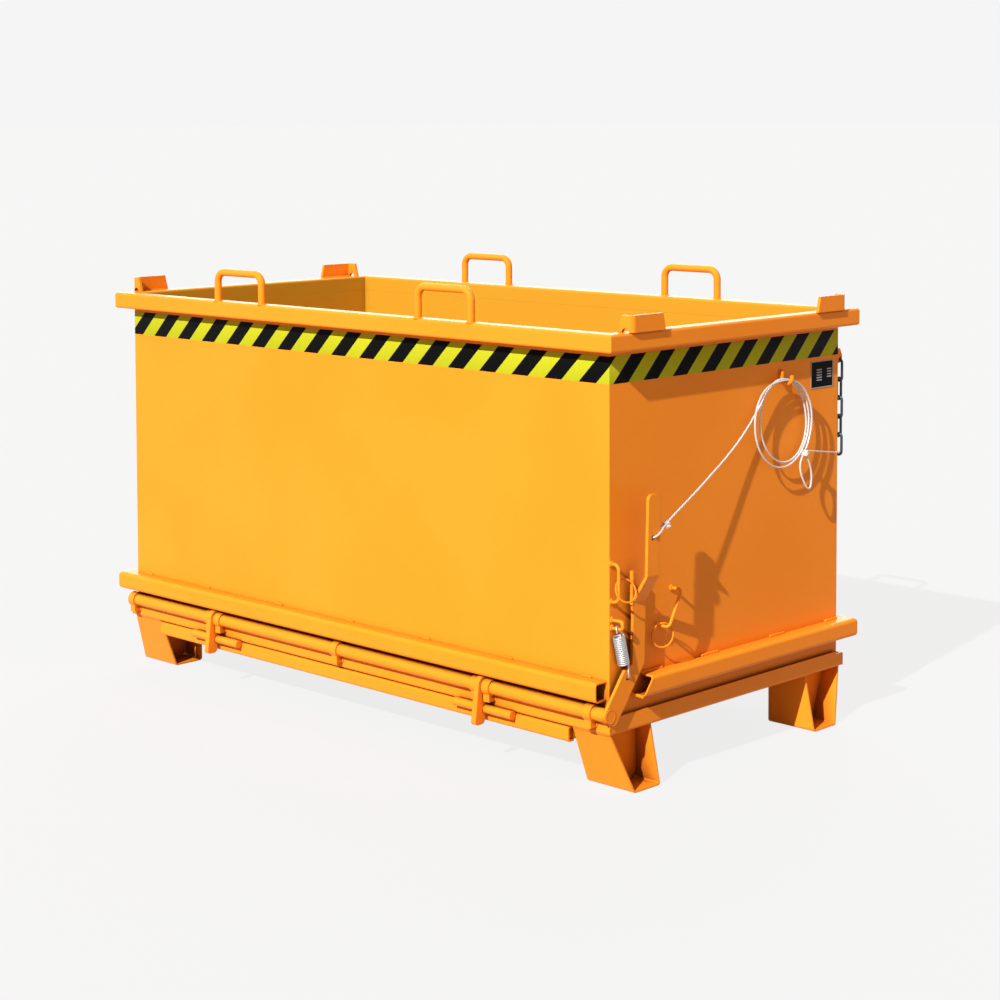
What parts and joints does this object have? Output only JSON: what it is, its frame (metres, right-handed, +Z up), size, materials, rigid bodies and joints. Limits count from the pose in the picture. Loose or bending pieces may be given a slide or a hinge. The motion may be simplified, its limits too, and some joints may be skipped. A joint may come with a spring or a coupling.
{
  "type": "bottom-opening container",
  "caption": "Open-top steel site container on feet whose hinged floor flap drops open when a roped lever turns a latch shaft with hooks",
  "frame": {"origin": "on the ground in the middle of the four feet", "axes": "+X to the end with the release lever, -Y to the latch side, +Z up"},
  "size_m": [1.9536, 1.0254, 1.191],
  "materials": {
    "yellow_paint": "satin yellow-orange enamel",
    "zinc_steel": "zinc plated wire and pins",
    "white_rope": "smooth white sheathed rope"
  },
  "bodies": {
    "container": {"chain": "zinc_steel", "chain_ear": "yellow_paint", "crane_loop_left_back": "yellow_paint", "crane_loop_left_front": "yellow_paint", "crane_loop_right_back": "yellow_paint", "crane_loop_right_front": "yellow_paint", "foot_left_back": "yellow_paint", "foot_left_front": "yellow_paint", "foot_right_back": "yellow_paint", "foot_right_front": "yellow_paint", "frame_back": "yellow_paint", "frame_front": "yellow_paint", "frame_left": "yellow_paint", "frame_right": "yellow_paint", "hinge_left": "yellow_paint", "hinge_middle": "yellow_paint", "hinge_pins": "zinc_steel", "hinge_right": "yellow_paint", "ledge_left": "yellow_paint", "ledge_right": "yellow_paint", "lock_hoop": "yellow_paint", "lower_rim_back": "yellow_paint", "lower_rim_front": "yellow_paint", "lower_rim_left": "yellow_paint", "lower_rim_right": "yellow_paint", "lug_left_back": "yellow_paint", "lug_left_front": "yellow_paint", "lug_right_back": "yellow_paint", "lug_right_front": "yellow_paint", "return_spring": "zinc_steel", "rim_back": "yellow_paint", "rim_front": "yellow_paint", "rim_left": "yellow_paint", "rim_right": "yellow_paint", "ring_hook": "yellow_paint", "rope_coil": "white_rope", "rope_ferrule": "zinc_steel", "rope_hook": "yellow_paint", "rope_run": "white_rope", "shaft_bearings": "yellow_paint", "spring_staple": "yellow_paint", "tie_cord": "white_rope", "wall_back": "yellow_paint", "wall_front": "yellow_paint", "wall_left": "yellow_paint", "wall_right": "yellow_paint"},
    "flap": {"flap_plate": "yellow_paint", "flap_rib_left": "yellow_paint", "flap_rib_middle": "yellow_paint", "flap_rib_right": "yellow_paint", "latch_bar_left": "yellow_paint", "latch_bar_right": "yellow_paint"},
    "latch": {"latch_shaft": "yellow_paint", "hook_left": "yellow_paint", "hook_right": "yellow_paint", "release_lever": "yellow_paint", "rope_eye": "white_rope", "rope_clip": "zinc_steel"},
    "lock_ring": {"lock_ring": "yellow_paint"},
    "hold_ring": {"hold_ring": "yellow_paint"}
  },
  "joints": [
    {"name": "flap_hinge", "type": "hinge", "parent": "container", "child": "flap", "pos_m": [0, 0.49, 0.128], "axis": [1, 0, 0], "range_deg": [0, 85]},
    {"name": "latch_turn", "type": "hinge", "parent": "container", "child": "latch", "pos_m": [0, -0.4812, 0.196], "axis": [-1, 0, 0], "range_deg": [0, 11], "deforming": ["return_spring", "rope_run"]},
    {"name": "lock_ring_swing", "type": "hinge", "parent": "container", "child": "lock_ring", "pos_m": [0.944, -0.454, 0.49], "axis": [0, 0, -1], "range_deg": [0, 40]},
    {"name": "hold_ring_swing", "type": "hinge", "parent": "container", "child": "hold_ring", "pos_m": [0.938, -0.284, 0.37933], "axis": [0.9283, 0.3094, -0.2063], "range_deg": [-12, 15]}
  ],
  "couplings": [
    {"joint": "latch_turn", "follows": "flap_hinge", "ratio": 0.12941}
  ]
}
